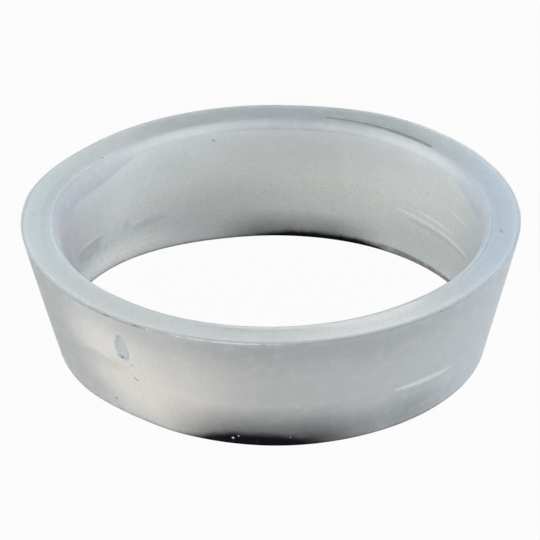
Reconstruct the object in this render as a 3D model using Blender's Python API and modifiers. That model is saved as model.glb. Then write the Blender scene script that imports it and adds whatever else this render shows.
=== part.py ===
"""Tapered trap washer for a 1-1/2 in waste tube, moulded in one shot from polyethylene.

The washer stands on its thin foot, with its wide rim face up. Its axis is +Z, and the
origin lies on the axis at the foot. The tube passes through the bore, the slip nut
presses on the rim face, and the cone wedges into the mouth of the trap.

Metres, +Z up.
"""

from math import atan2, cos, pi, radians, sin

import bmesh
import bpy
from mathutils import Matrix, Vector

# The tube and the fit of the bore on it
TUBE_DIAMETER = 0.0381
TUBE_CLEARANCE = 0.00005

# The ring
HEIGHT = 0.0124
RIM_WALL = 0.00355
FOOT_WALL = 0.00045

# The edges, as radii
MOUTH_ROUND = 0.0008
RIM_ROUND = 0.00012
FOOT_ROUND = 0.0003

# The gate mark: a shallow oval on the cone, with the sheared stub of the gate in it
GATE_ANGLE = radians(-127.3)
GATE_RISE = 0.0088
GATE_WIDTH = 0.0018
GATE_HEIGHT = 0.0029
GATE_DEPTH = 0.00015
GATE_STUB_DIAMETER = 0.0006
GATE_STUB_PROUD = 0.00008
GATE_STUB_DROP = 0.0007

# How finely the curves are drawn
TURN_STEPS = 160
MOUTH_STEPS = 5
EDGE_STEPS = 3
GATE_STEPS = 28
STUB_STEPS = 12

# How deep a cutter or a joined piece reaches beyond the surface that it meets
OVERLAP = 0.001
STUB_ROOT = 0.0003

MERGE_DISTANCE = 0.000001
FILLET_SHARE = 0.9
SHARP_ANGLE = radians(35)

POLYETHYLENE_COLOUR = (0.52, 0.55, 0.57, 1.0)
POLYETHYLENE_ROUGHNESS = 0.42

BORE_RADIUS = TUBE_DIAMETER / 2 + TUBE_CLEARANCE
RIM_RADIUS = BORE_RADIUS + RIM_WALL
FOOT_RADIUS = BORE_RADIUS + FOOT_WALL
TAPER = atan2(RIM_RADIUS - FOOT_RADIUS, HEIGHT)


def clear_scene():
    """Remove every object, so that the file holds only this model."""
    for obj in list(bpy.data.objects):
        bpy.data.objects.remove(obj, do_unlink=True)


def collection_for(name):
    """Return a new collection of that name, linked to the scene."""
    made = bpy.data.collections.new(name)
    bpy.context.scene.collection.children.link(made)
    return made


def polyethylene():
    """Return the milky natural polyethylene of the washer."""
    material = bpy.data.materials.new("milky polyethylene")
    material.use_nodes = True
    shader = material.node_tree.nodes["Principled BSDF"]
    shader.inputs["Base Color"].default_value = POLYETHYLENE_COLOUR
    shader.inputs["Roughness"].default_value = POLYETHYLENE_ROUGHNESS
    shader.inputs["Metallic"].default_value = 0.0
    return material


def fillet(corner, before, after, radius, steps):
    """Return the points of an arc that rounds a corner of the section.

    The arc is tangent to the lines from the corner towards the points before and after
    it. Its radius is limited so that it never uses more than a share of either line.
    """
    towards_before = (before - corner).normalized()
    towards_after = (after - corner).normalized()
    half_angle = towards_before.angle(towards_after) / 2
    room = FILLET_SHARE * min((before - corner).length, (after - corner).length)
    radius = min(radius, room * sin(half_angle) / cos(half_angle))
    bisector = (towards_before + towards_after).normalized()
    centre = corner + bisector * (radius / sin(half_angle))
    reach = radius * cos(half_angle) / sin(half_angle)
    start = corner + towards_before * reach - centre
    end = corner + towards_after * reach - centre
    sweep = start.angle_signed(end)
    return [
        centre + Matrix.Rotation(-sweep * step / steps, 2) @ start
        for step in range(steps + 1)
    ]


def ring_section():
    """Return the section as (radius, height) points: down the cone, in, and up the bore."""
    rim_outside = Vector((RIM_RADIUS, HEIGHT))
    foot_outside = Vector((FOOT_RADIUS, 0.0))
    foot_inside = Vector((BORE_RADIUS, 0.0))
    rim_inside = Vector((BORE_RADIUS, HEIGHT))
    return [
        *fillet(rim_outside, rim_inside, foot_outside, RIM_ROUND, EDGE_STEPS),
        *fillet(foot_outside, rim_outside, foot_inside, FOOT_ROUND, EDGE_STEPS),
        foot_inside,
        *fillet(rim_inside, foot_inside, rim_outside, MOUTH_ROUND, MOUTH_STEPS),
    ]


def closed_profile(name, points):
    """Return a mesh of edges that joins the points, in the XZ plane, back to the first."""
    outline = bmesh.new()
    corners = [outline.verts.new((radius, 0.0, height)) for radius, height in points]
    for first, second in zip(corners, corners[1:] + corners[:1]):
        outline.edges.new((first, second))
    mesh = bpy.data.meshes.new(name)
    outline.to_mesh(mesh)
    outline.free()
    return mesh


def oval_prism(name, width, height, length, steps):
    """Return a prism of oval section along its own +Z, from 0 to its length."""
    solid = bmesh.new()
    bmesh.ops.create_cone(
        solid, cap_ends=True, segments=steps, radius1=0.5, radius2=0.5, depth=1.0
    )
    bmesh.ops.translate(solid, verts=solid.verts, vec=(0.0, 0.0, 0.5))
    bmesh.ops.scale(solid, verts=solid.verts, vec=(width, height, length))
    mesh = bpy.data.meshes.new(name)
    solid.to_mesh(mesh)
    solid.free()
    return mesh


def cone_frame(angle, rise, depth):
    """Return the frame at a place on the cone, sunk by a depth below the surface.

    Its +Z points out of the cone, its +Y up the slope and its +X round the ring.
    """
    radius = FOOT_RADIUS + (RIM_RADIUS - FOOT_RADIUS) * rise / HEIGHT
    outward = Vector((cos(TAPER), 0.0, -sin(TAPER)))
    upslope = Vector((sin(TAPER), 0.0, cos(TAPER)))
    around = upslope.cross(outward)
    place = Vector((radius, 0.0, rise)) - outward * depth
    frame = Matrix.Identity(4)
    for column, vector in enumerate((around, upslope, outward, place)):
        frame.col[column].xyz = vector
    return Matrix.Rotation(angle, 4, "Z") @ frame


def helper(name, mesh, frame, helpers):
    """Return an object that only cuts or joins: it isn't rendered, and shows as wire."""
    obj = bpy.data.objects.new(name, mesh)
    obj.matrix_world = frame
    obj.hide_render = True
    obj.display_type = "WIRE"
    helpers.objects.link(obj)
    return obj


def add_turn(obj):
    """Turn the object's profile once round the Z axis."""
    turn = obj.modifiers.new("turn", "SCREW")
    turn.axis = "Z"
    turn.angle = 2 * pi
    turn.steps = TURN_STEPS
    turn.render_steps = TURN_STEPS
    turn.use_merge_vertices = True
    turn.merge_threshold = MERGE_DISTANCE
    turn.use_smooth_shade = True


def add_boolean(obj, name, operation, other):
    """Cut the other object from this one, or join it on."""
    modifier = obj.modifiers.new(name, "BOOLEAN")
    modifier.operation = operation
    modifier.solver = "EXACT"
    modifier.object = other


def add_gate_mark(obj, helpers):
    """Sink the oval gate mark into the cone, and leave the sheared stub in its lower part."""
    cutter = helper(
        "gate recess cutter",
        oval_prism("gate recess", GATE_WIDTH, GATE_HEIGHT, GATE_DEPTH + OVERLAP, GATE_STEPS),
        cone_frame(GATE_ANGLE, GATE_RISE, GATE_DEPTH),
        helpers,
    )
    add_boolean(obj, "gate recess", "DIFFERENCE", cutter)
    stub_length = STUB_ROOT + GATE_STUB_PROUD
    stub = helper(
        "gate stub",
        oval_prism("gate stub", GATE_STUB_DIAMETER, GATE_STUB_DIAMETER, stub_length, STUB_STEPS),
        cone_frame(GATE_ANGLE, GATE_RISE - GATE_STUB_DROP * cos(TAPER), GATE_DEPTH + STUB_ROOT),
        helpers,
    )
    add_boolean(obj, "gate stub", "UNION", stub)


def shade(obj):
    """Bake the modifiers into the mesh, and shade it smooth with its real edges kept sharp."""
    graph = bpy.context.evaluated_depsgraph_get()
    mesh = bpy.data.meshes.new_from_object(obj.evaluated_get(graph))
    mesh.name = obj.name
    mesh.shade_smooth()
    mesh.set_sharp_from_angle(angle=SHARP_ANGLE)
    obj.modifiers.clear()
    obj.data = mesh


def build_washer(parts, helpers):
    """Return the washer: a turned ring with the gate mark sunk into its cone."""
    washer = bpy.data.objects.new("washer", closed_profile("washer", ring_section()))
    parts.objects.link(washer)
    add_turn(washer)
    add_gate_mark(washer, helpers)
    shade(washer)
    washer.data.materials.clear()
    washer.data.materials.append(polyethylene())
    return washer


def main():
    """Build the trap washer in a clean scene."""
    clear_scene()
    build_washer(collection_for("trap washer"), collection_for("cutters"))


if __name__ == "__main__":
    main()
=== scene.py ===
"""Looks of a tapered trap washer: its milky polyethylene, the studio and the photo's view.

Everything is in metres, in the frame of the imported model: +Z runs along the washer's axis,
from the thin foot at the origin to the wide rim face.
"""

import logging
from dataclasses import dataclass, field
from enum import Enum
from functools import reduce
from math import atan2, cos, pi, radians, sin
from typing import Any, Callable, Optional, Union

import bpy
from mathutils import Matrix, Vector


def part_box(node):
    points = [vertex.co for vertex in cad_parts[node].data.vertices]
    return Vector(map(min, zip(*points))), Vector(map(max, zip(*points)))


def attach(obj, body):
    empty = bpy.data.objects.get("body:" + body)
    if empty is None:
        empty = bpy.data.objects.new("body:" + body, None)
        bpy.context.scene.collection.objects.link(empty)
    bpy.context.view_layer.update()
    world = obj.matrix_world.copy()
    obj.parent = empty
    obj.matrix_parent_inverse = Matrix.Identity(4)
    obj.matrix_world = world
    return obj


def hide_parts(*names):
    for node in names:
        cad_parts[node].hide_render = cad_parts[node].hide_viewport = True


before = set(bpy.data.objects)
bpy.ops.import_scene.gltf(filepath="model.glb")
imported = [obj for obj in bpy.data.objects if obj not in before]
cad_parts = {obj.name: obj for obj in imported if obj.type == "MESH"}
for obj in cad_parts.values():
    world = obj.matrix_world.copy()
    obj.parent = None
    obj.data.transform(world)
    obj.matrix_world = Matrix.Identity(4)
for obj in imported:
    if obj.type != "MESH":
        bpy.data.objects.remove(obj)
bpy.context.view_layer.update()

MM = 0.001
BODY = "root"
NODE = "washer"

Colour = tuple[float, float, float]
Edges = tuple[float, float]
Operand = Union["Wire", float, tuple[float, float, float]]

WHITE: Colour = (1.0, 1.0, 1.0)

log = logging.getLogger("trap washer")


def placed(name: str, data: Optional[bpy.types.ID]) -> bpy.types.Object:
    """Return a new object of that name and data, linked to the scene."""
    made = bpy.data.objects.new(name, data)
    bpy.context.scene.collection.objects.link(made)
    return made


class Side(Enum):
    """The surfaces of the washer that a mark can lie on."""

    CONE = "cone"
    BORE = "bore"
    RIM = "rim face"
    MOUTH = "mouth"


CONE, BORE, RIM, MOUTH = Side


def operator(operation: str, reflected: bool = False) -> Callable[["Wire", Operand], "Wire"]:
    """Make one of the operators of a wire.

    Args:
        operation: the operation of the node that the operator adds.
        reflected: whether the other operand stands first, as in 1 - mask.

    Returns:
        The method, which returns the wire of the node's result.
    """

    def apply(wire: "Wire", other: Operand) -> "Wire":
        """Add the node and return its result."""
        operands = (other, wire) if reflected else (wire, other)
        return wire.tree.maths(operation, *operands)

    return apply


class Wire:
    """A node's output. Python's operators on it add Math or Vector Math nodes."""

    def __init__(self, tree: "NodeTree", socket: bpy.types.NodeSocket) -> None:
        """Keep the tree and the socket."""
        self.tree = tree
        self.socket = socket

    @property
    def is_vector(self) -> bool:
        """Tell whether the output carries a vector."""
        return self.socket.type == "VECTOR"

    def beside(self, name: str) -> "Wire":
        """Return the wire from another output of the same node."""
        return Wire(self.tree, self.socket.node.outputs[name])

    def __abs__(self) -> "Wire":
        """Return the size of self without its sign."""
        return self.tree.maths("ABSOLUTE", self)

    def __neg__(self) -> "Wire":
        """Return -self."""
        return self.tree.maths("MULTIPLY", self, -1.0)

    __add__ = operator("ADD")
    __radd__ = operator("ADD", True)
    __sub__ = operator("SUBTRACT")
    __rsub__ = operator("SUBTRACT", True)
    __mul__ = operator("MULTIPLY")
    __rmul__ = operator("MULTIPLY", True)
    __truediv__ = operator("DIVIDE")
    __rtruediv__ = operator("DIVIDE", True)
    __mod__ = operator("FLOORED_MODULO")
    __gt__ = operator("GREATER_THAN")
    __lt__ = operator("LESS_THAN")


class NodeTree:
    """A shader or geometry tree that is built node by node."""

    def __init__(self, data: bpy.types.NodeTree) -> None:
        """Start on the tree, emptied."""
        self.data = data
        data.nodes.clear()

    def add(
        self,
        kind: str,
        settings: Optional[dict[str, Any]] = None,
        inputs: Optional[dict[Union[int, str], Any]] = None,
        output: Union[int, str] = 0,
    ) -> Optional[Wire]:
        """Add a node, apply its settings, then fill or link its inputs.

        Args:
            kind: the node's type, such as "ShaderNodeTexNoise".
            settings: properties of the node; "items" is how many an Index Switch chooses from.
            inputs: numbers, vectors, colours or wires, by socket identifier, name or number.
            output: the identifier, name or number of the output that is wanted.

        Returns:
            The wire from that output, or None for a node that ends the tree.
        """
        node = self.data.nodes.new(kind)
        for name, value in (settings or {}).items():
            if name == "items":
                while len(node.index_switch_items) < value:
                    node.index_switch_items.new()
            else:
                setattr(node, name, value)
        for name, value in (inputs or {}).items():
            socket = self._find(node.inputs, name)
            if isinstance(value, Wire):
                self.data.links.new(value.socket, socket)
            else:
                socket.default_value = value
        if not node.outputs:
            return None
        return Wire(self, self._find(node.outputs, output))

    @staticmethod
    def _find(sockets: Any, key: Union[int, str]) -> bpy.types.NodeSocket:
        """Return the socket of that number, identifier or name."""
        if isinstance(key, int):
            return sockets[key]
        for socket in sockets:
            if socket.identifier == key:
                return socket
        return sockets[key]

    def maths(self, operation: str, *operands: Operand) -> Wire:
        """Return a Math node's result, or a Vector Math node's if an operand is a vector.

        Args:
            operation: the node's operation, such as "ADD".
            operands: the values, vectors or wires, in the node's order.

        Returns:
            The wire of the result.
        """
        vectors = [
            operand.is_vector if isinstance(operand, Wire) else isinstance(operand, tuple)
            for operand in operands
        ]
        if not any(vectors):
            names = ["Value", "Value_001", "Value_002"]
            return self.add("ShaderNodeMath", {"operation": operation}, dict(zip(names, operands)))
        if operation == "MULTIPLY" and not all(vectors):
            vector = operands[vectors.index(True)]
            factor = operands[vectors.index(False)]
            inputs = {"Vector": vector, "Scale": factor}
            return self.add("ShaderNodeVectorMath", {"operation": "SCALE"}, inputs)
        names = ["Vector", "Vector_001", "Vector_002"]
        inputs = {
            name: operand if is_vector or isinstance(operand, Wire) else (operand,) * 3
            for name, operand, is_vector in zip(names, operands, vectors)
        }
        result = "Value" if operation in ("DOT_PRODUCT", "LENGTH", "DISTANCE") else "Vector"
        return self.add("ShaderNodeVectorMath", {"operation": operation}, inputs, result)

    def vector(self, x: Operand, y: Operand, z: Operand) -> Wire:
        """Return a vector of three values."""
        return self.add("ShaderNodeCombineXYZ", None, {"X": x, "Y": y, "Z": z})

    def split(self, vector: Wire) -> tuple[Wire, Wire, Wire]:
        """Return the X, Y and Z of a vector."""
        x = self.add("ShaderNodeSeparateXYZ", None, {"Vector": vector}, "X")
        return x, x.beside("Y"), x.beside("Z")

    def radius(self, x: Wire, y: Wire) -> Wire:
        """Return how far the point (x, y) lies from (0, 0)."""
        return self.maths("SQRT", x * x + y * y)

    def clamp(self, value: Wire) -> Wire:
        """Return the value, held between 0 and 1."""
        return self.add("ShaderNodeClamp", None, {"Value": value})

    def turned(self, angle: Wire, start: float) -> Wire:
        """Return an angle measured from another, both in radians, between half turns."""
        return self.maths("WRAP", angle - start, pi, -pi)

    def ease(self, value: Wire, start: Operand, end: Operand) -> Wire:
        """Return 0 up to the start and 1 from the end, eased between; the start may lie above."""
        inputs = {"Value": value, "From Min": start, "From Max": end}
        return self.add("ShaderNodeMapRange", {"interpolation_type": "SMOOTHSTEP"}, inputs)

    def mix(self, factor: Operand, first: Operand, second: Operand) -> Wire:
        """Return a colour between the first, at a factor of 0, and the second, at 1."""
        colours = [(*c, 1.0) if isinstance(c, tuple) else c for c in (first, second)]
        inputs = {"Factor_Float": factor, "A_Color": colours[0], "B_Color": colours[1]}
        return self.add("ShaderNodeMix", {"data_type": "RGBA"}, inputs, "Result_Color")


class ShaderTree(NodeTree):
    """The node tree of a new material or world."""

    def __init__(self, owner: Union[bpy.types.Material, bpy.types.World]) -> None:
        """Switch the owner's nodes on and start on its tree."""
        owner.use_nodes = True
        super().__init__(owner.node_tree)
        self.owner = owner

    def mix_shaders(self, factor: Wire, first: Wire, second: Wire) -> Wire:
        """Return a shader between the first, at a factor of 0, and the second, at 1."""
        inputs = {"Fac": factor, "Shader": first, "Shader_001": second}
        return self.add("ShaderNodeMixShader", None, inputs)

    def finish(self, shader: Wire) -> Any:
        """End the tree with the shader, and return its material or world."""
        kinds = {"World": "ShaderNodeOutputWorld", "Material": "ShaderNodeOutputMaterial"}
        self.add(kinds[type(self.owner).__name__], None, {"Surface": shader})
        return self.owner


class GeometryTree(NodeTree):
    """A Geometry Nodes group with named inputs, and the values that they get."""

    def __init__(self, name: str) -> None:
        """Start an empty group of that name."""
        super().__init__(bpy.data.node_groups.new(name, "GeometryNodeTree"))
        self.data.is_modifier = True
        self.data.interface.new_socket("Geometry", in_out="OUTPUT", socket_type="NodeSocketGeometry")
        self.entry = self.data.nodes.new("NodeGroupInput")
        self.values: dict[str, Any] = {}

    def size(self, name: str, value: Any) -> Wire:
        """Add a named input, and keep the value that the modifier sets on it.

        Args:
            name: the input's name.
            value: a number, a whole number or a material.

        Returns:
            The wire of the input.
        """
        kinds = {int: "NodeSocketInt", float: "NodeSocketFloat"}
        kind = kinds.get(type(value), "NodeSocketMaterial")
        socket = self.data.interface.new_socket(name, in_out="INPUT", socket_type=kind)
        self.values[socket.identifier] = value
        return Wire(self, self.entry.outputs[socket.identifier])

    def finish(self, geometry: Wire, finish: Wire) -> None:
        """End the group: real instances, the material, and the output."""
        real = self.add("GeometryNodeRealizeInstances", None, {"Geometry": geometry})
        inputs = {"Geometry": real, "Material": finish}
        dressed = self.add("GeometryNodeSetMaterial", None, inputs)
        self.add("NodeGroupOutput", None, {"Geometry": dressed})

    def move(self, mesh: Wire, offset: Wire, chosen: Union[Wire, bool] = True) -> Wire:
        """Return the mesh with its chosen points moved by the offset."""
        inputs = {"Geometry": mesh, "Selection": chosen, "Offset": offset}
        return self.add("GeometryNodeSetPosition", None, inputs)

    def bake(self, name: str) -> bpy.types.Object:
        """Run the group on a new object and keep only the plain mesh.

        Args:
            name: the name of the piece.

        Returns:
            The finished piece, at the origin.
        """
        piece = placed(name, bpy.data.meshes.new(name))
        modifier = piece.modifiers.new(name, "NODES")
        modifier.node_group = self.data
        for identifier, value in self.values.items():
            modifier[identifier] = value
        graph = bpy.context.evaluated_depsgraph_get()
        mesh = bpy.data.meshes.new_from_object(piece.evaluated_get(graph))
        mesh.name = name
        piece.modifiers.remove(modifier)
        piece.data = mesh
        return piece


@dataclass(frozen=True)
class Grain:
    """A pattern of noise: its features to the metre, its strength and the range it is eased over."""

    scale: float
    detail: float = 2.0
    roughness: float = 0.5
    strength: float = 1.0
    low: float = 0.0
    high: float = 1.0

    def plain(self, tree: NodeTree, at: Wire) -> Wire:
        """Return the noise as it is, from 0 to 1."""
        sizes = {"Scale": self.scale, "Detail": self.detail, "Roughness": self.roughness}
        return tree.add("ShaderNodeTexNoise", None, {"Vector": at, **sizes}, "Fac")

    def sway(self, tree: NodeTree, at: Wire) -> Wire:
        """Return the noise as a departure from 0 either way."""
        return (self.plain(tree, at) - 0.5) * self.strength

    def eased(self, tree: NodeTree, at: Wire) -> Wire:
        """Return 0 below the range of the noise, and the full strength above it."""
        return tree.ease(self.plain(tree, at), self.low, self.high) * self.strength


@dataclass
class RingPoint:
    """Where each point lies: its coordinates, and its distance and angle round the axis."""

    tree: NodeTree
    at: Wire

    def __post_init__(self) -> None:
        """Work the coordinates out from the position."""
        self.x, self.y, self.z = self.tree.split(self.at)
        self.radius = self.tree.radius(self.x, self.y)
        self.angle = self.tree.maths("ARCTAN2", self.y, self.x)

    def turned(self, degrees: float) -> Wire:
        """Return the angle measured from a given one, in radians, between half turns."""
        return self.tree.turned(self.angle, radians(degrees))


@dataclass(frozen=True)
class GateMark:
    """The oval sunk by the gate of the mould, with the sheared stub in its lower part.

    It is wider below than above, by the egg share either way, and its foot is cut flat.
    """

    angle: float = radians(-127.6)
    rise: float = 8.8 * MM
    width: float = 1.52 * MM
    height: float = 3.1 * MM
    depth: float = 0.13 * MM
    edge: float = 0.12
    egg: float = 0.28
    flat_foot: float = -1.36 * MM
    flat_edge: float = 0.07 * MM
    stub_drop: float = 0.85 * MM
    stub_radius: float = 0.3 * MM
    stub_edges: tuple[float, float] = (1.15, 0.75)
    stub_proud: float = -0.06 * MM
    reach_in: float = 1.0 * MM


@dataclass(frozen=True)
class Stretch:
    """A stretch of the ring: full round its middle angle, easing out towards its ends.

    The depth is how much is worn, pushed or raised on its full part.
    """

    angle: float
    full: float
    spread: float
    depth: float = 0.0

    def mask(self, point: RingPoint) -> Wire:
        """Return 1 on the full part of the stretch, easing to 0 at its ends."""
        away = abs(point.turned(self.angle))
        return point.tree.ease(away, radians(self.spread), radians(self.full))


@dataclass(frozen=True)
class Wear:
    """How the flexible ring in the photo is out of true: its dent, its foot and its mouth."""

    dent: Stretch = Stretch(112.0, 26.0, 57.0, 0.65 * MM)
    dent_at_foot: float = 0.2
    short_foot: tuple[Stretch, ...] = (
        Stretch(188.0, 36.0, 92.0, 0.47 * MM),
        Stretch(150.0, 2.0, 48.0, 0.24 * MM),
        Stretch(-132.0, 3.0, 18.0, 0.15 * MM),
    )
    deep_mouth: tuple[Stretch, ...] = (Stretch(178.0, 30.0, 50.0), Stretch(-8.0, 22.0, 42.0))
    mouth_stretch: float = 1.6

    def push(self, point: RingPoint, height: float) -> Wire:
        """Return how far the dent pushes each point of a ring of that height in."""
        share = point.z * ((1.0 - self.dent_at_foot) / height) + self.dent_at_foot
        return self.dent.mask(point) * share * self.dent.depth

    def lift(self, point: RingPoint, height: float) -> Wire:
        """Return how far each point is raised where the foot is short, most at the foot.

        Args:
            point: where the point lies.
            height: the height of the ring.

        Returns:
            The wire of the distance.
        """
        low = 1.0 - point.z / height
        missing = sum(stretch.mask(point) * stretch.depth for stretch in self.short_foot)
        return missing * low * low

    def mouth_depth(self, point: RingPoint) -> Wire:
        """Return how many times its plain depth the mouth's rounding has at each point."""
        deeper = sum(stretch.mask(point) for stretch in self.deep_mouth)
        return 1.0 + deeper * self.mouth_stretch


@dataclass(frozen=True)
class RingForm:
    """The sizes of the turned section, from the bore outwards, and how finely it is drawn."""

    height: float
    bore_radius: float = 19.1 * MM
    rim_wall: float = 3.51 * MM
    foot_wall: float = 0.38 * MM
    mouth_round: float = 0.8 * MM
    foot_round: float = 0.3 * MM
    around: int = 560
    crowding: float = 0.7
    cone_step: float = 0.125 * MM
    bore_step: float = 0.5 * MM
    mouth_steps: int = 10
    foot_steps: int = 4
    fold: float = radians(50.0)
    skin: float = 0.01 * MM
    middle_rise: float = 6.0 * MM

    @property
    def taper(self) -> float:
        """Return the angle between the cone's slope and the axis."""
        return atan2(self.rim_wall - self.foot_wall, self.height)

    @property
    def growth(self) -> float:
        """Return how much thicker the wall gets for each metre up."""
        return (self.rim_wall - self.foot_wall) / self.height

    def cone_radius(self, rise: float) -> float:
        """Return the cone's radius at a height above the foot."""
        return self.bore_radius + self.foot_wall + self.growth * rise


@dataclass
class WasherRing:
    """The whole washer: one ring turned from one section, with the gate mark in its cone."""

    form: RingForm
    gate: GateMark = field(default_factory=GateMark)
    wear: Wear = field(default_factory=Wear)

    def section(self, tree: GeometryTree) -> Wire:
        """Draw the closed section, out from the bore along X and down along Y.

        Args:
            tree: the group that the section is drawn in.

        Returns:
            The wire of the section's curve, cut finely for the gate mark and the shading.
        """
        height = tree.size("Height", self.form.height)
        rim_wall = tree.size("Rim wall", self.form.rim_wall)
        foot_wall = tree.size("Foot wall", self.form.foot_wall)
        mouth_round = tree.size("Mouth round", self.form.mouth_round)
        foot_round = tree.size("Foot round", self.form.foot_round)
        corners = tree.add(
            "GeometryNodeCurvePrimitiveQuadrilateral",
            {"mode": "POINTS"},
            {
                "Point 1": tree.vector(rim_wall, -height, 0.0),
                "Point 2": tree.vector(0.0, -height, 0.0),
                "Point 3": (0.0, 0.0, 0.0),
                "Point 4": tree.vector(foot_wall, 0.0, 0.0),
            },
        )
        index = tree.add("GeometryNodeInputIndex")
        radius = self._choose(tree, "FLOAT", index, [0.0, mouth_round, 0.0, foot_round])
        steps = [1, self.form.mouth_steps, 1, self.form.foot_steps]
        count = self._choose(tree, "INT", index, steps)
        rounded = tree.add(
            "GeometryNodeFilletCurve",
            {"mode": "POLY"},
            {"Curve": corners, "Count": count, "Radius": radius, "Limit Radius": True},
        )
        return self._cut(tree, rounded)

    @staticmethod
    def _choose(tree: GeometryTree, kind: str, index: Wire, items: list[Any]) -> Wire:
        """Return the item of that number, for each corner of the section.

        Args:
            tree: the group.
            kind: the type of the items, such as "FLOAT".
            index: the number of each corner.
            items: a value or a wire for each corner.

        Returns:
            The wire of the chosen item.
        """
        settings = {"data_type": kind, "items": len(items)}
        inputs = {"Index": index, **dict(enumerate(items, start=1))}
        return tree.add("GeometryNodeIndexSwitch", settings, inputs)

    def _cut(self, tree: GeometryTree, curve: Wire) -> Wire:
        """Cut the section's long lines into short ones: fine on the cone, coarse on the bore.

        Args:
            tree: the group.
            curve: the wire of the rounded section.

        Returns:
            The wire of the cut section.
        """
        position = tree.add("GeometryNodeInputPosition")
        index = tree.add("GeometryNodeInputIndex")
        size = "GeometryNodeAttributeDomainSize"
        count = tree.add(size, {"component": "CURVE"}, {"Geometry": curve}, "Point Count")
        inputs = {"Value": position, "Index": (index + 1.0) % count}
        following = tree.add("GeometryNodeFieldAtIndex", {"data_type": "FLOAT_VECTOR"}, inputs)
        length = tree.maths("DISTANCE", position, following)
        out, _, _ = tree.split(position + following)
        on_bore = out < self.form.skin
        step = tree.size("Cone step", self.form.cone_step) * (1.0 - on_bore)
        step = step + on_bore * tree.size("Bore step", self.form.bore_step)
        cuts = tree.maths("FLOOR", length / step)
        return tree.add("GeometryNodeSubdivideCurve", None, {"Curve": curve, "Cuts": cuts})

    def circle(self, tree: GeometryTree) -> Wire:
        """Draw the circle that the section runs round, with its points crowded at the gate.

        Args:
            tree: the group that the circle is drawn in.

        Returns:
            The wire of the circle's curve.
        """
        around = tree.size("Steps around", self.form.around)
        bore = tree.size("Bore radius", self.form.bore_radius)
        crowding = tree.size("Crowding at the gate", self.form.crowding)
        gate_angle = tree.size("Gate angle", self.gate.angle)
        inputs = {"Resolution": around, "Radius": bore}
        ring = tree.add("GeometryNodeCurvePrimitiveCircle", None, inputs)
        index = tree.add("GeometryNodeInputIndex")
        turn = index * (2 * pi) / around
        angle = gate_angle + turn - crowding * tree.maths("SINE", turn)
        place = tree.vector(tree.maths("COSINE", angle), tree.maths("SINE", angle), 0.0) * bore
        spread = tree.add("GeometryNodeSetPosition", None, {"Geometry": ring, "Position": place})
        return tree.add("GeometryNodeSetCurveNormal", {"mode": "Z_UP"}, {"Curve": spread})

    def deepen_mouth(self, tree: GeometryTree, mesh: Wire) -> Wire:
        """Let the mouth's rounding reach further down the bore on two sides of the ring.

        Args:
            tree: the group.
            mesh: the wire of the evenly rounded ring.

        Returns:
            The wire of the ring with the deeper stretches.
        """
        height = self.form.height
        reach = self.form.mouth_round
        point = RingPoint(tree, tree.add("GeometryNodeInputPosition"))
        inside = point.radius - self.form.bore_radius
        drop = height - point.z
        on_mouth = tree.radius(inside, drop) < reach + self.form.skin
        chosen = tree.maths("MAXIMUM", on_mouth, inside < self.form.skin)
        grown = self.wear.mouth_depth(point)
        below = (height - reach * grown) / (height - reach)
        deeper = tree.maths("MINIMUM", drop * grown, reach * grown + (drop - reach) * below)
        return tree.move(mesh, tree.vector(0.0, 0.0, drop - deeper), chosen)

    def out_of_true(self, tree: GeometryTree, mesh: Wire) -> Wire:
        """Push the ring in on one side and shorten its foot on another, as in the photo.

        Args:
            tree: the group.
            mesh: the wire of the true ring.

        Returns:
            The wire of the pushed ring.
        """
        point = RingPoint(tree, tree.add("GeometryNodeInputPosition"))
        push = self.wear.push(point, self.form.height) * tree.size("Dent", 1.0)
        lift = self.wear.lift(point, self.form.height) * tree.size("Short foot", 1.0)
        inward = -push / point.radius
        return tree.move(mesh, tree.vector(point.x * inward, point.y * inward, lift))

    def press_gate(self, tree: GeometryTree, mesh: Wire) -> Wire:
        """Sink the oval gate mark into the cone and leave the sheared stub in it.

        Args:
            tree: the group.
            mesh: the wire of the ring.

        Returns:
            The wire of the marked ring.
        """
        gate = self.gate
        taper = self.form.taper
        outward = Vector((cos(taper) * cos(gate.angle), cos(taper) * sin(gate.angle), -sin(taper)))
        around = Vector((-sin(gate.angle), cos(gate.angle), 0.0))
        upslope = outward.cross(around)
        radius = self.form.cone_radius(gate.rise)
        middle = Vector((radius * cos(gate.angle), radius * sin(gate.angle), gate.rise))
        local = tree.add("GeometryNodeInputPosition") - tuple(middle)
        sideways = tree.maths("DOT_PRODUCT", local, tuple(around))
        up = tree.maths("DOT_PRODUCT", local, tuple(upslope))
        out = tree.maths("DOT_PRODUCT", local, tuple(outward))
        half_width = tree.size("Gate width", gate.width) / 2.0
        half_height = tree.size("Gate height", gate.height) / 2.0
        along = up / half_height
        across = sideways / (half_width * (1.0 - along * gate.egg))
        oval = tree.radius(across, along)
        recess = tree.ease(oval, 1.0 + gate.edge, 1.0 - gate.edge)
        foot = tree.ease(up, gate.flat_foot - gate.flat_edge, gate.flat_foot + gate.flat_edge)
        recess = recess * foot * tree.size("Gate depth", gate.depth)
        from_stub = tree.radius(sideways, up + gate.stub_drop) / gate.stub_radius
        stub = tree.ease(from_stub, *gate.stub_edges)
        stub = stub * tree.size("Stub height", gate.depth + gate.stub_proud)
        return tree.move(mesh, tree.vector(*outward) * (stub - recess), out > -gate.reach_in)

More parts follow.
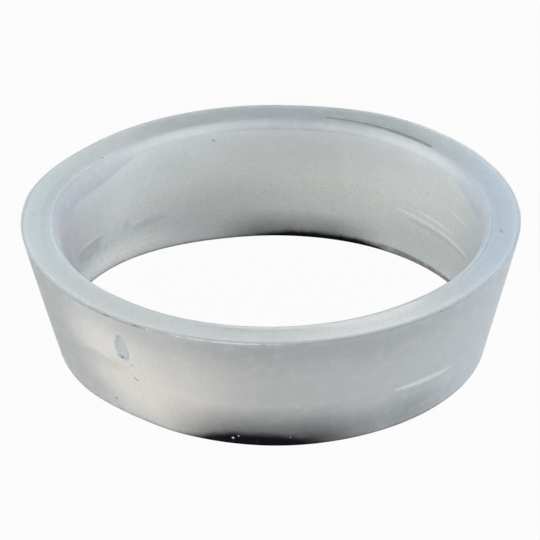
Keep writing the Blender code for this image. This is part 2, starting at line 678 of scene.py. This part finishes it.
    def build(self, finish: bpy.types.Material) -> bpy.types.Object:
        """Build the washer in place of its CAD solid.

        Args:
            finish: the material of the whole ring.

        Returns:
            The finished piece.
        """
        tree = GeometryTree("washer ring")
        inputs = {"Curve": self.circle(tree), "Profile Curve": self.section(tree)}
        mesh = tree.add("GeometryNodeCurveToMesh", None, inputs)
        mesh = tree.add("GeometryNodeFlipFaces", None, {"Mesh": mesh})
        mesh = self.press_gate(tree, self.deepen_mouth(tree, mesh))
        mesh = self.out_of_true(tree, mesh)
        inputs = {"Geometry": mesh, "Shade Smooth": True}
        smooth = tree.add("GeometryNodeSetShadeSmooth", {"domain": "FACE"}, inputs)
        fold = tree.add("GeometryNodeInputMeshEdgeAngle", None, None, "Unsigned Angle")
        inputs = {"Geometry": smooth, "Selection": fold > self.form.fold, "Shade Smooth": False}
        crisp = tree.add("GeometryNodeSetShadeSmooth", {"domain": "EDGE"}, inputs)
        tree.finish(crisp, tree.size("Finish", finish))
        return tree.bake("washer_ring")


@dataclass(frozen=True)
class Stroke:
    """A scratch, streak or speck, or a line of painted highlight or shade, from one place of a surface
    to another.

    A place is an angle in degrees and, in millimetres, a height above the foot, or on the
    rim face a distance from the axis.
    """

    side: Side
    start: tuple[float, float]
    end: tuple[float, float]
    width: float
    taper: float = 0.7
    core: float = 0.25


def speck(side: Side, angle: float, level: float, width: float) -> Stroke:
    """Return a stroke of no length."""
    return Stroke(side, (angle, level), (angle, level), width)


@dataclass
class Place:
    """Where a point of the surface lies, for the patterns of the finish."""

    tree: NodeTree
    form: RingForm
    wear: Wear
    ragged_grain: Grain = Grain(120.0, 3.0, strength=0.8)
    # Noise for the ragged top of the painted shade at the foot.
    smoky_grain: Grain = Grain(900.0, 4.0, 0.65, 0.45 * MM)
    flat_skin: float = 0.02 * MM
    mouth_edges: Edges = (1.12, 0.92)

    def __post_init__(self) -> None:
        """Find each point's angle, height and distance from the axis on the true ring."""
        height = self.form.height
        self.at = self.tree.add("ShaderNodeTexCoord", None, None, "Object")
        self.point = RingPoint(self.tree, self.at)
        self.z = self.point.z - self.wear.lift(self.point, height)
        self.radius = self.point.radius + self.wear.push(self.point, height)
        self.ragged = self.ragged_grain.sway(self.tree, self.at)
        self.smoky = self.smoky_grain.sway(self.tree, self.at)
        self.sides = {side: self._on(side) for side in Side}
        self.flats = {side: self._flat(side) for side in (CONE, BORE, RIM)}

    def _on(self, side: Side) -> Wire:
        """Return 1 on that surface of the ring and 0 on the others.

        Args:
            side: the surface.

        Returns:
            The wire of its mask.
        """
        form = self.form
        flat = self.z > form.height - self.flat_skin
        if side is RIM:
            return flat
        if side is MOUTH:
            out = (self.radius - form.bore_radius) / form.mouth_round
            depth = self.wear.mouth_depth(self.point) * form.mouth_round
            far = self.tree.maths("LENGTH", self.tree.vector(out, (form.height - self.z) / depth, 0.0))
            return self.tree.ease(far, *self.mouth_edges) * (1.0 - flat)
        middle = form.bore_radius + (self.z * form.growth + form.foot_wall) / 2.0
        outer = self.radius > middle
        return outer * (1.0 - flat) if side is CONE else 1.0 - outer

    def _flat(self, side: Side) -> Wire:
        """Return the surface unrolled: millimetres round the ring, and up or out along it."""
        level = self.radius if side is RIM else self.z
        return self.tree.vector(self.point.angle * self.reach(side), level / MM, 0.0)

    def reach(self, side: Side) -> float:
        """Return how many millimetres round that surface make one radian."""
        form = self.form
        return (form.bore_radius if side is BORE else form.cone_radius(form.middle_rise)) / MM

    def on(self, side: Side) -> Wire:
        """Return the mask of that surface."""
        return self.sides[side]

    def stroke(self, mark: Stroke) -> Wire:
        """Return 1 on the middle of a stroke, easing to 0 at its edges and its ends.

        Args:
            mark: the stroke.

        Returns:
            The wire of its mask.
        """
        tree = self.tree
        reach = self.reach(mark.side)
        first = Vector((radians(mark.start[0]) * reach, mark.start[1], 0.0))
        last = Vector((radians(mark.end[0]) * reach, mark.end[1], 0.0))
        run = last - first
        away = self.flats[mark.side] - tuple(first)
        if run.length == 0.0:
            distance = tree.maths("LENGTH", away)
        else:
            share = tree.clamp(tree.maths("DOT_PRODUCT", away, tuple(run / run.length_squared)))
            distance = tree.maths("LENGTH", away - share * tuple(run))
            ends = tree.maths("MULTIPLY_ADD", share, 2.0, -1.0)
            distance = distance / tree.maths("MULTIPLY_ADD", ends * ends, -mark.taper, 1.0)
        return tree.ease(distance, mark.width, mark.width * mark.core)

    def strokes(self, marks: tuple[Stroke, ...]) -> Wire:
        """Return the strongest of several strokes at each point."""
        groups = []
        for side in self.flats:
            masks = [self.stroke(mark) for mark in marks if mark.side is side]
            if masks:
                groups.append(self.strongest(masks) * self.on(side))
        return self.strongest(groups)

    def strongest(self, masks: list[Wire]) -> Wire:
        """Return the highest of several masks at each point."""
        return reduce(lambda first, second: self.tree.maths("MAXIMUM", first, second), masks)


@dataclass(frozen=True)
class Tint:
    """A soft patch of painted light or painted shade round one place, where the plastic looks lighter,
    darker or warmer.

    Its place is an angle in degrees and a height in millimetres, its spread is in degrees
    and its reach in millimetres. With no reach it covers the surface from bottom to top.
    """

    side: Side
    place: tuple[float, float]
    spread: float
    reach: Optional[float]
    colour: Colour
    strength: float
    edges: Edges = (1.15, 0.1)

    def mask(self, place: Place) -> Wire:
        """Return how strongly the tint shows at each point.

        Args:
            place: where each point lies on the ring.

        Returns:
            The wire of the mask.
        """
        tree = place.tree
        away = place.point.turned(self.place[0]) / radians(self.spread)
        if self.reach is None:
            distance = abs(away) + place.ragged
        else:
            up = (place.z / MM - self.place[1]) / self.reach
            distance = tree.maths("LENGTH", tree.vector(away, up, 0.0)) + place.ragged
        return tree.ease(distance, *self.edges) * place.on(self.side) * self.strength


@dataclass(frozen=True)
class Coat:
    """Painted shade laid evenly over one surface, over the plastic's own clouds."""

    side: Side
    colour: Colour
    strength: float


@dataclass(frozen=True)
class FootFilm:
    """Painted shade on the foot: a near black rim of painted contact shadow, and painted shade that
    thins out above it.

    The dark core covers all up to its height, and its top sinks below the foot at the ends of
    its stretch. The fading shade has its strength at the foot and nothing at its reach.
    """

    side: Side
    soot: Stretch
    soot_height: float
    soot_edge: float
    smoke: Stretch
    smoke_from: float
    smoke_reach: float
    strength: float
    sunk: float = 0.3 * MM
    overlap: float = 0.15 * MM
    soot_strength: float = 0.985

    def mask(self, place: Place) -> Wire:
        """Return how much of the painted shade covers each point of the foot.

        Args:
            place: where each point lies on the ring.

        Returns:
            The wire of the mask.
        """
        tree = place.tree
        rise = place.z + place.smoky
        top = self.soot.mask(place.point) * (self.soot_height + self.sunk) - self.sunk
        soot = tree.ease(rise - top, self.soot_edge, -self.overlap) * self.soot_strength
        share = (rise - self.smoke_from) / (self.smoke_reach - self.smoke_from)
        smoke = (1.0 - tree.clamp(share)) * self.smoke.mask(place.point) * self.strength
        return (1.0 - (1.0 - soot) * (1.0 - smoke)) * place.on(self.side)


@dataclass(frozen=True)
class Marks:
    """Strokes of one kind: their colour, how strongly they cover, and how broken they are."""

    colour: Colour
    strength: float
    broken: float
    strokes: tuple[Stroke, ...]

    def cover(self, place: Place, patches: Wire) -> Wire:
        """Return how much the strokes cover each point, given patches between 0 and 1."""
        whole = patches * self.broken + (1.0 - self.broken)
        return place.strokes(self.strokes) * whole * self.strength


@dataclass(frozen=True)
class MilkyPolyethylene:
    """Natural polyethylene: milky and bluish, satin from the mould, a little marked by use, with
    painted light and shade in its colour.
    """

    form: RingForm
    gate: GateMark
    wear: Wear
    milky: Colour = (0.575, 0.59, 0.585)
    cool: Colour = (0.53, 0.555, 0.56)
    pale: Colour = (0.72, 0.73, 0.73)
    dusty: Colour = (0.40, 0.42, 0.42)
    # Near black and brownish colours of the painted shade at the foot.
    grime: Colour = (0.006, 0.007, 0.010)
    rusty: Colour = (0.06, 0.035, 0.03)
    gate_tint: Colour = (0.38, 0.45, 0.475)
    gate_strength: float = 0.6
    gate_edges: Edges = (1.05, 0.85)
    gate_foot_edge: float = 0.06
    # Painted shade along the rim's outer edge.
    rubbed: Colour = (0.22, 0.24, 0.245)
    rubbed_strength: float = 0.75
    rubbed_edges: Edges = (0.42 * MM, 0.04 * MM)
    cloud: Grain = Grain(70.0, 3.0, low=0.32, high=0.68)
    mottle: Grain = Grain(900.0, 4.0, 0.6, 0.17, 0.45, 0.75)
    dust: Grain = Grain(5200.0, 2.0, 0.6, 0.5, 0.48, 0.75)
    patches: Grain = Grain(1500.0, low=0.35, high=0.60)
    lines: Grain = Grain(2100.0, 3.0, 0.7, low=0.42, high=0.68)
    line_tint: float = 0.07
    line_height: float = 0.03
    waves: Grain = Grain(160.0, strength=0.7)
    texture: Grain = Grain(2500.0, 3.0, 0.6, 0.16)
    relief_depth: float = 0.12 * MM
    relief_strength: float = 0.3
    gloss: Grain = Grain(600.0, 4.0, 0.6, 0.2)
    satin: float = 0.50
    worn: float = 0.78
    matt: float = 0.95
    speckle: Grain = Grain(3400.0, strength=0.5, low=0.62, high=0.75)
    crumb_strength: float = 0.9
    refraction: float = 1.5
    scatter_radius: Colour = (0.95, 1.0, 1.05)
    scatter_scale: float = 2.0 * MM
    # Painted shade laid evenly over the cone and the mouth.
    coats: tuple[Coat, ...] = (
        Coat(CONE, (0.42, 0.435, 0.445), 0.80),
        Coat(MOUTH, (0.42, 0.44, 0.465), 0.85),
    )
    # Patches of painted light and shade, among them a warm painted pool of lamp light on the cone and
    # a painted glow at the bore's foot.
    tints: tuple[Tint, ...] = (
        Tint(CONE, (-80.0, 12.4), 80.0, 4.5, (0.33, 0.345, 0.36), 0.75),
        Tint(CONE, (-170.0, 5.0), 46.0, None, (0.30, 0.31, 0.315), 0.85),
        Tint(CONE, (-118.0, 6.0), 27.0, 7.0, (0.64, 0.62, 0.60), 0.68),
        Tint(CONE, (-133.5, 8.6), 16.5, 4.6, (0.77, 0.73, 0.69), 0.58),
        Tint(CONE, (-126.0, 4.0), 20.0, 4.4, (0.74, 0.70, 0.64), 0.5),
        Tint(CONE, (-146.0, 1.5), 16.0, 3.2, (0.36, 0.365, 0.355), 0.7),
        Tint(CONE, (-54.0, 2.4), 16.0, 2.3, (0.33, 0.35, 0.37), 0.35),
        Tint(CONE, (-42.0, 1.0), 30.0, 2.0, (0.32, 0.335, 0.35), 0.5),
        Tint(CONE, (-57.0, 0.9), 24.0, 3.0, (0.21, 0.225, 0.24), 0.72),
        Tint(CONE, (-10.0, 6.0), 40.0, None, (0.42, 0.46, 0.50), 0.7),
        Tint(BORE, (78.0, 11.2), 64.0, 4.2, (0.41, 0.43, 0.45), 0.68),
        Tint(BORE, (50.0, 4.0), 60.0, 5.0, (0.68, 0.69, 0.67), 0.6),
        Tint(BORE, (140.0, 4.0), 60.0, 5.0, (0.68, 0.68, 0.67), 0.6),
        Tint(BORE, (172.0, 8.0), 27.0, None, (0.38, 0.38, 0.42), 0.8),
        Tint(BORE, (5.0, 8.0), 22.0, None, (0.40, 0.44, 0.46), 0.7),
        Tint(BORE, (142.0, 1.2), 32.0, 1.8, (0.92, 0.91, 0.88), 0.7),
        Tint(RIM, (-64.0, 0.0), 26.0, None, (0.72, 0.725, 0.72), 0.45),
        Tint(RIM, (84.0, 0.0), 58.0, None, (0.315, 0.35, 0.365), 0.86),
        Tint(RIM, (-4.0, 0.0), 52.0, None, (0.45, 0.54, 0.63), 0.78),
        Tint(RIM, (180.0, 0.0), 46.0, None, (0.53, 0.62, 0.645), 0.7),
        Tint(MOUTH, (122.0, 12.0), 26.0, None, (0.56, 0.57, 0.57), 0.2),
        Tint(MOUTH, (42.0, 12.0), 24.0, None, (0.70, 0.72, 0.71), 0.25),
        Tint(MOUTH, (82.0, 12.0), 28.0, None, (0.31, 0.355, 0.375), 0.85),
        Tint(MOUTH, (182.0, 12.0), 52.0, None, (0.38, 0.39, 0.43), 0.8),
        Tint(MOUTH, (-8.0, 12.0), 44.0, None, (0.38, 0.42, 0.48), 0.8),
    )
    # Painted shade at the foot: near black contact shadow on the front of the cone and the back of the
    # bore, fading upwards.
    films: tuple[FootFilm, ...] = (
        FootFilm(
            CONE, Stretch(-95.0, 4.0, 21.0), 1.08 * MM, 0.85 * MM,
            Stretch(-90.0, 8.0, 32.0), 0.7 * MM, 4.8 * MM, 0.92,
        ),
        FootFilm(
            BORE, Stretch(75.0, 9.0, 24.0), 0.4 * MM, 0.5 * MM,
            Stretch(82.0, 8.0, 30.0), 0.0, 2.9 * MM, 0.80,
        ),
    )
    marks: tuple[Marks, ...] = (
        # Painted shade: darker bands under light streaks on the cone and the bore, and in the cone's
        # crease between lighter patches.
        Marks((0.34, 0.36, 0.37), 0.30, 0.3, (
            Stroke(CONE, (-143.5, 5.9), (-136.5, 6.95), 0.55),
            Stroke(CONE, (-138.0, 6.9), (-130.5, 6.4), 0.24),
            Stroke(CONE, (-60.0, 3.95), (-44.0, 3.75), 0.50),
            Stroke(BORE, (48.0, 4.35), (20.0, 4.1), 0.36),
        )),
        Marks((0.26, 0.275, 0.265), 0.36, 0.45, (
            Stroke(BORE, (159.0, 4.26), (145.5, 4.40), 0.62),
            Stroke(BORE, (157.5, 3.70), (148.0, 3.75), 0.95, 0.3),
        )),
        # Partly painted shade: the soft dark band on the rim face and the wide band in the cone's
        # crease.
        Marks((0.27, 0.285, 0.275), 0.20, 0.45, (
            Stroke(BORE, (133.0, 3.55), (122.0, 3.75), 0.70),
            Stroke(BORE, (136.2, 3.90), (135.6, 4.60), 0.62, 0.3),
            Stroke(RIM, (-109.0, 20.40), (-82.0, 20.42), 0.55),
            Stroke(CONE, (-148.0, 5.50), (-129.0, 6.50), 1.30, 0.5),
        )),
        # Painted light: pale bands on the rim face by the mouth's front edge.
        Marks((0.84, 0.84, 0.83), 0.32, 0.3, (
            Stroke(RIM, (-77.0, 20.15), (-49.0, 20.25), 1.15, 0.8),
            Stroke(RIM, (-104.0, 19.88), (-70.0, 19.88), 0.60, 0.8),
        )),
        Marks((0.30, 0.255, 0.17), 0.35, 0.5, (
            Stroke(BORE, (144.8, 2.80), (144.2, 3.05), 0.34, 0.3),
            Stroke(BORE, (154.0, 3.00), (153.0, 3.20), 0.32, 0.3),
            Stroke(BORE, (160.5, 2.20), (158.5, 2.60), 0.30, 0.3),
        )),
        Marks((0.25, 0.29, 0.36), 0.42, 0.3, (
            Stroke(CONE, (-129.3, 7.70), (-126.2, 7.55), 0.44),
            Stroke(CONE, (-128.3, 10.1), (-127.9, 10.0), 0.24),
        )),
        # Painted highlights: light streaks on the cone and the bore.
        Marks((0.90, 0.905, 0.91), 0.42, 0.4, (
            Stroke(CONE, (-58.5, 4.62), (-39.0, 4.30), 0.44, 0.85),
            Stroke(BORE, (52.0, 5.02), (34.0, 4.70), 0.27, 0.6),
            Stroke(BORE, (41.0, 4.80), (17.5, 4.58), 0.30, 0.8),
            Stroke(BORE, (45.0, 5.62), (28.0, 5.52), 0.24, 0.8),
        )),
        Marks((0.80, 0.81, 0.82), 0.4, 0.6, (
            Stroke(BORE, (30.0, 7.7), (19.0, 7.75), 0.22),
            Stroke(BORE, (157.5, 4.88), (148.0, 4.86), 0.27, 0.8),
            Stroke(BORE, (133.6, 4.15), (129.6, 4.30), 0.22, 0.6),
        )),
        # Painted highlight: a broken light line along the rim's outer edge.
        Marks((0.85, 0.86, 0.87), 0.5, 0.85, (
            Stroke(CONE, (-119.0, 12.26), (-85.0, 12.26), 0.12, 0.2),
        )),
        # Painted shade: a dark line where the rim face meets the mouth at the back.
        Marks((0.12, 0.14, 0.155), 0.68, 0.2, (
            Stroke(RIM, (74.5, 20.46), (65.0, 20.24), 0.26, 0.2),
            Stroke(RIM, (66.0, 20.26), (57.0, 20.10), 0.28, 0.1),
            Stroke(RIM, (58.0, 20.11), (42.0, 20.02), 0.34, 0.2),
        )),
        # Painted shade: hairlines along the mouth's front edge and the rim's outer edge.
        Marks((0.10, 0.11, 0.13), 0.42, 0.7, (
            Stroke(RIM, (-37.0, 19.80), (-76.0, 19.83), 0.10),
            Stroke(CONE, (-172.0, 12.31), (-122.0, 12.31), 0.12),
        )),
        # Painted shade: a line along the mouth's edge at the right.
        Marks((0.22, 0.25, 0.29), 0.4, 0.5, (
            Stroke(RIM, (6.0, 19.97), (-34.0, 20.1), 0.10),
        )),
        # Painted shade: a dark brownish contact line at the bore's foot.
        Marks((0.12, 0.105, 0.055), 0.75, 0.4, (
            Stroke(BORE, (72.0, 0.28), (42.0, 0.36), 0.50),
            Stroke(BORE, (50.0, 0.28), (26.0, 0.24), 0.34, 0.4),
        )),
        Marks((0.012, 0.013, 0.018), 0.6, 0.0, (
            Stroke(CONE, (-125.6, 5.65), (-124.6, 5.3), 0.14, 0.3),
            Stroke(RIM, (-8.6, 21.05), (-7.2, 20.75), 0.11, 0.3),
            speck(BORE, 106.7, 10.9, 0.17),
            speck(BORE, 31.1, 11.35, 0.14),
            speck(BORE, 40.3, 7.98, 0.13),
            speck(RIM, 22.8, 21.15, 0.11),
            speck(CONE, -32.9, 6.95, 0.13),
            speck(RIM, 143.2, 20.0, 0.17),
            Stroke(CONE, (-131.0, 12.3), (-129.2, 12.3), 0.13, 0.3),
            Stroke(CONE, (-122.6, 12.28), (-121.4, 12.3), 0.14, 0.3),
            speck(CONE, -48.9, 12.25, 0.13),
            Stroke(CONE, (-128.5, 7.62), (-128.1, 7.58), 0.15, 0.3),
            Stroke(CONE, (-125.7, 7.05), (-125.4, 7.08), 0.13, 0.3),
            Stroke(CONE, (-134.4, 1.5), (-134.0, 1.7), 0.17, 0.3),
        )),
    )
    crumbs: tuple[Stroke, ...] = (
        speck(CONE, -100.2, 0.8, 0.16),
        speck(CONE, -98.7, 1.1, 0.10),
        speck(CONE, -85.4, 1.1, 0.08),
    )

    def colour(self, place: Place) -> Wire:
        """Lay the painted shade coats, the patches of painted light and shade, the grain, the painted
        edge shade and the marks over each other; some marks are painted highlights and shade lines.

        Args:
            place: where each point lies on the ring.

        Returns:
            The wire of the base colour.
        """
        tree = place.tree
        patches = self.patches.eased(tree, place.at)
        colour = tree.mix(self.cloud.eased(tree, place.at), self.cool, self.milky)
        for coat in self.coats:
            colour = tree.mix(place.on(coat.side) * coat.strength, colour, coat.colour)
        for tint in self.tints:
            colour = tree.mix(tint.mask(place), colour, tint.colour)
        colour = tree.mix(self.mottle.eased(tree, place.at), colour, self.pale)
        colour = tree.mix(self.dust.eased(tree, place.at), colour, self.dusty)
        colour = tree.mix(self.turned_lines(place) * self.line_tint, colour, self.dusty)
        # Painted shade on the rim's outer edge.
        colour = tree.mix(self.rim_edge(place) * self.rubbed_strength, colour, self.rubbed)
        colour = tree.mix(self.in_gate(place) * self.gate_strength, colour, self.gate_tint)
        for marks in self.marks:
            colour = tree.mix(marks.cover(place, patches), colour, marks.colour)
        return colour

    def in_gate(self, place: Place) -> Wire:
        """Return 1 inside the oval of the gate mark, easing to 0 at its edge.

        Args:
            place: where each point lies on the ring.

        Returns:
            The wire of the mask.
        """
        tree = place.tree
        gate = self.gate
        up = (place.z - gate.rise) * (2 / (gate.height * cos(self.form.taper)))
        turned = tree.turned(place.point.angle, gate.angle)
        across = turned * (2 * self.form.cone_radius(gate.rise) / gate.width)
        across = across / (1.0 - up * gate.egg)
        oval = tree.ease(tree.maths("LENGTH", tree.vector(across, up, 0.0)), *self.gate_edges)
        foot = gate.flat_foot / gate.height * 2
        above = tree.ease(up, foot - self.gate_foot_edge, foot + self.gate_foot_edge)
        return oval * above * place.on(CONE)

    def rim_edge(self, place: Place) -> Wire:
        """Return 1 on the rim's outer edge and 0 away from it: where the edge is rubbed dull, and
        where shade is painted on it.
        """
        rim = self.form.bore_radius + self.form.rim_wall
        corner = place.tree.vector(rim - place.radius, self.form.height - place.z, 0.0)
        return place.tree.ease(place.tree.maths("LENGTH", corner), *self.rubbed_edges)

    def turned_lines(self, place: Place) -> Wire:
        """Return the fine lines that the mould left round the ring, between 0 and 1."""
        return self.lines.eased(place.tree, place.tree.vector(place.radius, 0.0, place.z))

    def roughness(self, place: Place) -> Wire:
        """Return the roughness: satin, a little uneven, and dull on the rim's outer edge."""
        satin = self.gloss.sway(place.tree, place.at) + self.satin
        return satin + (self.worn - satin) * self.rim_edge(place)

    def relief(self, place: Place) -> Wire:
        """Give the surface its fine moulded texture and its slow waves.

        Args:
            place: where each point lies on the ring.

        Returns:
            The wire of the bent normal.
        """
        height = self.turned_lines(place) * -self.line_height
        for grain in (self.waves, self.texture):
            height = height + grain.plain(place.tree, place.at) * grain.strength
        inputs = {"Strength": self.relief_strength, "Distance": self.relief_depth, "Height": height}
        return place.tree.add("ShaderNodeBump", None, inputs)

    def dirt(self, place: Place) -> Wire:
        """Return the colour of the painted shade on the foot: near black, with a few pale crumbs in
        it.
        """
        colour = place.tree.mix(self.speckle.eased(place.tree, place.at), self.grime, self.rusty)
        return place.tree.mix(place.strokes(self.crumbs) * self.crumb_strength, colour, self.pale)

    def material(self) -> bpy.types.Material:
        """Return the finished material: the plastic, with the painted shade on the foot over it."""
        tree = ShaderTree(bpy.data.materials.new("milky polyethylene"))
        place = Place(tree, self.form, self.wear)
        settings = {"subsurface_method": "RANDOM_WALK"}
        inputs = {
            "Base Color": self.colour(place),
            "Roughness": self.roughness(place),
            "Normal": self.relief(place),
            "IOR": self.refraction,
            "Subsurface Weight": 1.0,
            "Subsurface Radius": self.scatter_radius,
            "Subsurface Scale": self.scatter_scale,
        }
        plastic = tree.add("ShaderNodeBsdfPrincipled", settings, inputs)
        # The painted shade at the foot, as a near black matt surface laid over the plastic.
        inputs = {"Base Color": self.dirt(place), "Roughness": self.matt, "Specular IOR Level": 0.0}
        dirt = tree.add("ShaderNodeBsdfPrincipled", None, inputs)
        cover = place.strongest([foot_shade.mask(place) for foot_shade in self.films])
        return tree.finish(tree.mix_shaders(cover, plastic, dirt))


@dataclass(frozen=True)
class SoftLamp:
    """A square soft lamp that looks at the washer and isn't seen itself.

    Without highlights it lights the plastic, but nothing mirrors it.
    """

    name: str
    azimuth: float
    elevation: float
    distance: float
    side: float
    level: float
    colour: Colour
    highlights: bool = False

    def build(self) -> bpy.types.Object:
        """Hang the lamp. Its level is what it adds to a white surface that faces it."""
        data = bpy.data.lights.new(self.name, "AREA")
        data.shape = "SQUARE"
        data.size = self.side
        data.color = self.colour
        data.energy = self.level * pi * pi * self.distance * self.distance
        lamp = placed(self.name, data)
        azimuth = radians(self.azimuth)
        elevation = radians(self.elevation)
        across = cos(elevation)
        towards = Vector((sin(azimuth) * across, -cos(azimuth) * across, sin(elevation)))
        lamp.location = towards * self.distance
        lamp.rotation_euler = towards.to_track_quat("Z", "Y").to_euler()
        lamp.visible_camera = False
        lamp.visible_glossy = self.highlights
        return lamp


@dataclass
class Studio:
    """The pale floor, the surrounding light and the soft lamps."""

    floor_side: float = 3.0
    floor_drop: float = 0.01 * MM
    floor_colour: Colour = (0.12, 0.12, 0.12)
    floor_pattern: Colour = (0.10, 0.10, 0.10)
    floor_grain: Grain = Grain(40.0, 3.0)
    floor_white: float = 0.965
    surround: Colour = (0.96, 0.98, 1.0)
    surround_level: float = 0.23
    lamps: tuple[SoftLamp, ...] = (
        SoftLamp("lamp left front", -45.0, 17.0, 0.5, 0.27, 0.60, (1.0, 0.975, 0.94), True),
        SoftLamp("lamp left", -98.0, 18.0, 0.5, 0.27, 0.50, (0.92, 0.98, 1.0)),
        SoftLamp("lamp right", 84.0, 18.0, 0.5, 0.27, 0.95, (0.91, 0.97, 1.0)),
        SoftLamp("lamp front", 5.0, 19.0, 0.6, 0.32, 0.56, (1.0, 0.995, 0.97)),
        SoftLamp("lamp back", 172.0, 9.0, 0.6, 0.18, 0.40, (0.96, 0.98, 1.0)),
    )

    def floor(self) -> bpy.types.Object:
        """Lay the floor: white to the camera, yet keeping the washer's shadow.

        Returns:
            The floor.
        """
        half = self.floor_side / 2
        mesh = bpy.data.meshes.new("floor")
        corners = [(-half, -half), (half, -half), (half, half), (-half, half)]
        mesh.from_pydata([(x, y, -self.floor_drop) for x, y in corners], [], [(0, 1, 2, 3)])
        tree = ShaderTree(bpy.data.materials.new("pale floor"))
        at = tree.add("ShaderNodeTexCoord", None, None, "Object")
        pattern = tree.mix(self.floor_grain.plain(tree, at), self.floor_colour, self.floor_pattern)
        matt = tree.add("ShaderNodeBsdfDiffuse", None, {"Color": pattern})
        white = tree.add("ShaderNodeEmission", None, {"Color": (*WHITE, 1.0), "Strength": 1.0})
        shader = tree.mix_shaders(self.seen(tree) * self.floor_white, matt, white)
        mesh.materials.append(tree.finish(shader))
        floor = placed("floor", mesh)
        return floor

    @staticmethod
    def seen(tree: NodeTree) -> Wire:
        """Return 1 for rays that show a background: from the camera, mirrored or clear."""
        camera = tree.add("ShaderNodeLightPath", None, None, "Is Camera Ray")
        passed = camera.beside("Is Transmission Ray") * (1.0 - camera.beside("Is Diffuse Ray"))
        mirrored = tree.maths("MAXIMUM", camera, camera.beside("Is Glossy Ray"))
        return tree.maths("MAXIMUM", mirrored, passed)

    def world(self) -> None:
        """Surround the scene with an even light, white where it is seen."""
        tree = ShaderTree(bpy.data.worlds.new("studio"))
        colour = tree.mix(self.seen(tree), self.surround, WHITE)
        level = self.surround_level + (1.0 - self.surround_level) * self.seen(tree)
        shader = tree.add("ShaderNodeBackground", None, {"Color": colour, "Strength": level})
        bpy.context.scene.world = tree.finish(shader)

    def build(self) -> None:
        """Set up the floor, the surrounding light and the lamps."""
        self.world()
        self.floor()
        for lamp in self.lamps:
            lamp.build()
        view = bpy.context.scene.view_settings
        view.view_transform = "Standard"


@dataclass(frozen=True)
class PhotoCamera:
    """The camera where the photo's was, as fitted to the washer's outline and its hole."""

    elevation: float = radians(30.176)
    distance: float = 0.4793
    focal_pixels: float = 5233.1
    frame_pixels: float = 540.0
    sensor: float = 36.0
    nearest: float = 0.01
    farthest: float = 20.0
    yaw: float = radians(-0.014)
    pitch: float = radians(0.724)
    roll: float = radians(-0.432)

    def build(self) -> bpy.types.Object:
        """Place the camera and make it the scene's.

        Returns:
            The camera.
        """
        data = bpy.data.cameras.new("camera")
        data.sensor_fit = "HORIZONTAL"
        data.sensor_width = self.sensor
        data.lens = self.focal_pixels / self.frame_pixels * self.sensor
        data.clip_start = self.nearest
        data.clip_end = self.farthest
        camera = placed("camera", data)
        place = Vector((0.0, -cos(self.elevation), sin(self.elevation))) * self.distance
        ahead = -place.normalized()
        right = Vector((1.0, 0.0, 0.0))
        up = right.cross(ahead)
        ahead, right = self._swing(ahead, right, self.yaw)
        ahead, up = self._swing(ahead, up, self.pitch)
        right, up = self._swing(right, up, self.roll)
        turn = Matrix((right, up, -ahead)).transposed()
        camera.matrix_world = Matrix.Translation(place) @ turn.to_4x4()
        bpy.context.scene.camera = camera
        return camera

    @staticmethod
    def _swing(first: Vector, second: Vector, angle: float) -> tuple[Vector, Vector]:
        """Turn two square directions in their plane, the first towards the second."""
        return first * cos(angle) + second * sin(angle), second * cos(angle) - first * sin(angle)


def ride(piece: bpy.types.Object) -> bpy.types.Object:
    """Let a piece ride on the washer's body and stand for its solid.

    Args:
        piece: the finished piece.

    Returns:
        The same piece.
    """
    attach(piece, BODY)
    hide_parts(NODE)
    return piece


def report(piece: bpy.types.Object) -> None:
    """Log a piece's name and how many triangles it has."""
    triangles = sum(len(face.vertices) - 2 for face in piece.data.polygons)
    log.info("%s: %d triangles", piece.name, triangles)


def main() -> None:
    """Build the washer, its finish, the studio and the camera."""
    logging.basicConfig(level=logging.INFO, format="%(name)s: %(message)s")
    PhotoCamera().build()
    low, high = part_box(NODE)
    form = RingForm(height=high.z - low.z)
    ring = WasherRing(form)
    finish = MilkyPolyethylene(form, ring.gate, ring.wear).material()
    report(ride(ring.build(finish)))
    Studio().build()


if __name__ == "__main__":
    main()
